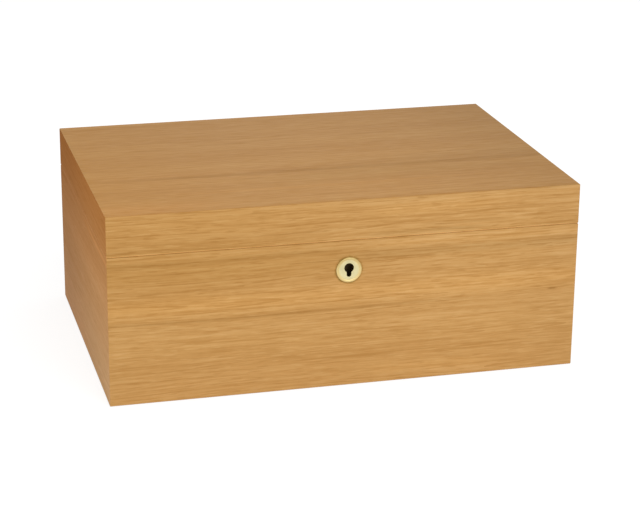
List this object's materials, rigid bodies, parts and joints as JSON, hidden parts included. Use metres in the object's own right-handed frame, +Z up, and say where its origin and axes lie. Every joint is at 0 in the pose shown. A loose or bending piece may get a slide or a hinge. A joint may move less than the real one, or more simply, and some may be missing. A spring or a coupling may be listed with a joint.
{
  "type": "cigar humidor",
  "caption": "Rectangular veneered wooden box with a hinged locking lid, cedar lining, sliding tray, dividers, humidifier and hygrometer, for keeping cigars.",
  "frame": {"origin": "middle of the felt face that the box stands on, below the middle of the box", "axes": "+X to the right seen from the front, +Y from the front to the back, +Z up"},
  "size_m": [0.35, 0.2407, 0.142],
  "materials": {
    "oak": "satin",
    "cedar": "matte",
    "brass": "polished",
    "steel": "brushed",
    "felt": "matte",
    "black_plastic": "matte",
    "foam": "matte",
    "dial": "matte",
    "glass": "gloss"
  },
  "bodies": {
    "body": {"front_wall": "oak", "back_wall": "oak", "left_wall": "oak", "right_wall": "oak", "base_panel": "oak", "felt_base": "felt", "lining_floor": "cedar", "lining_front": "cedar", "lining_back": "cedar", "lining_left": "cedar", "lining_right": "cedar", "front_runner": "cedar", "back_runner": "cedar", "hinge_leaf_body_left": "brass", "hinge_leaf_body_right": "brass", "hinge_pin_left": "brass", "hinge_pin_right": "brass", "escutcheon": "brass", "lock_case": "brass", "lock_cap": "steel"},
    "lid": {"lid_top": "oak", "lid_front": "oak", "lid_back": "oak", "lid_left": "oak", "lid_right": "oak", "lid_lining_top": "cedar", "lid_lining_front": "cedar", "lid_lining_back": "cedar", "lid_lining_left": "cedar", "lid_lining_right": "cedar", "hinge_leaf_lid_left": "brass", "hinge_leaf_lid_right": "brass", "link_plate": "brass", "humidifier_plate": "steel", "humidifier_case": "black_plastic", "humidifier_foam": "foam", "humidifier_cover": "black_plastic", "hygrometer_magnet": "steel", "hygrometer_case": "brass", "hygrometer_dial": "dial", "hygrometer_glass": "glass", "hygrometer_bezel": "brass"},
    "stays": {"hinge_stay_left": "brass", "hinge_stay_right": "brass"},
    "bolt": {"lock_bolt": "steel", "bolt_spring": "steel"},
    "tray": {"tray_front": "cedar", "tray_back": "cedar", "tray_left": "cedar", "tray_right": "cedar", "tray_floor": "cedar"},
    "tray_partition": {"tray_divider": "cedar"},
    "lower_partition": {"lower_divider": "cedar"},
    "needle": {"hygrometer_needle": "black_plastic"}
  },
  "joints": [
    {"name": "lid_hinge", "type": "hinge", "parent": "body", "child": "lid", "pos_m": [0, 0.1195, 0.112], "axis": [-1, 0, 0], "range_deg": [0, 95]},
    {"name": "stay_swing", "type": "hinge", "parent": "body", "child": "stays", "pos_m": [0, 0.1195, 0.112], "axis": [-1, 0, 0], "range_deg": [0, 47.5]},
    {"name": "bolt_throw", "type": "slide", "parent": "body", "child": "bolt", "axis": [1, 0, 0], "range_m": [0, 0.006]},
    {"name": "tray_slide", "type": "slide", "parent": "body", "child": "tray", "axis": [1, 0, 0], "range_m": [0, 0.118]},
    {"name": "tray_divider_slide", "type": "slide", "parent": "tray", "child": "tray_partition", "axis": [1, 0, 0], "range_m": [-0.088, 0.088]},
    {"name": "lower_divider_slide", "type": "slide", "parent": "body", "child": "lower_partition", "axis": [1, 0, 0], "range_m": [-0.224, 0.084]},
    {"name": "needle_turn", "type": "hinge", "parent": "lid", "child": "needle", "pos_m": [0.074, 0, 0.1218], "axis": [0, 0, 1], "range_deg": [-130, 130]}
  ],
  "couplings": [
    {"joint": "stay_swing", "follows": "lid_hinge", "ratio": 0.5}
  ]
}
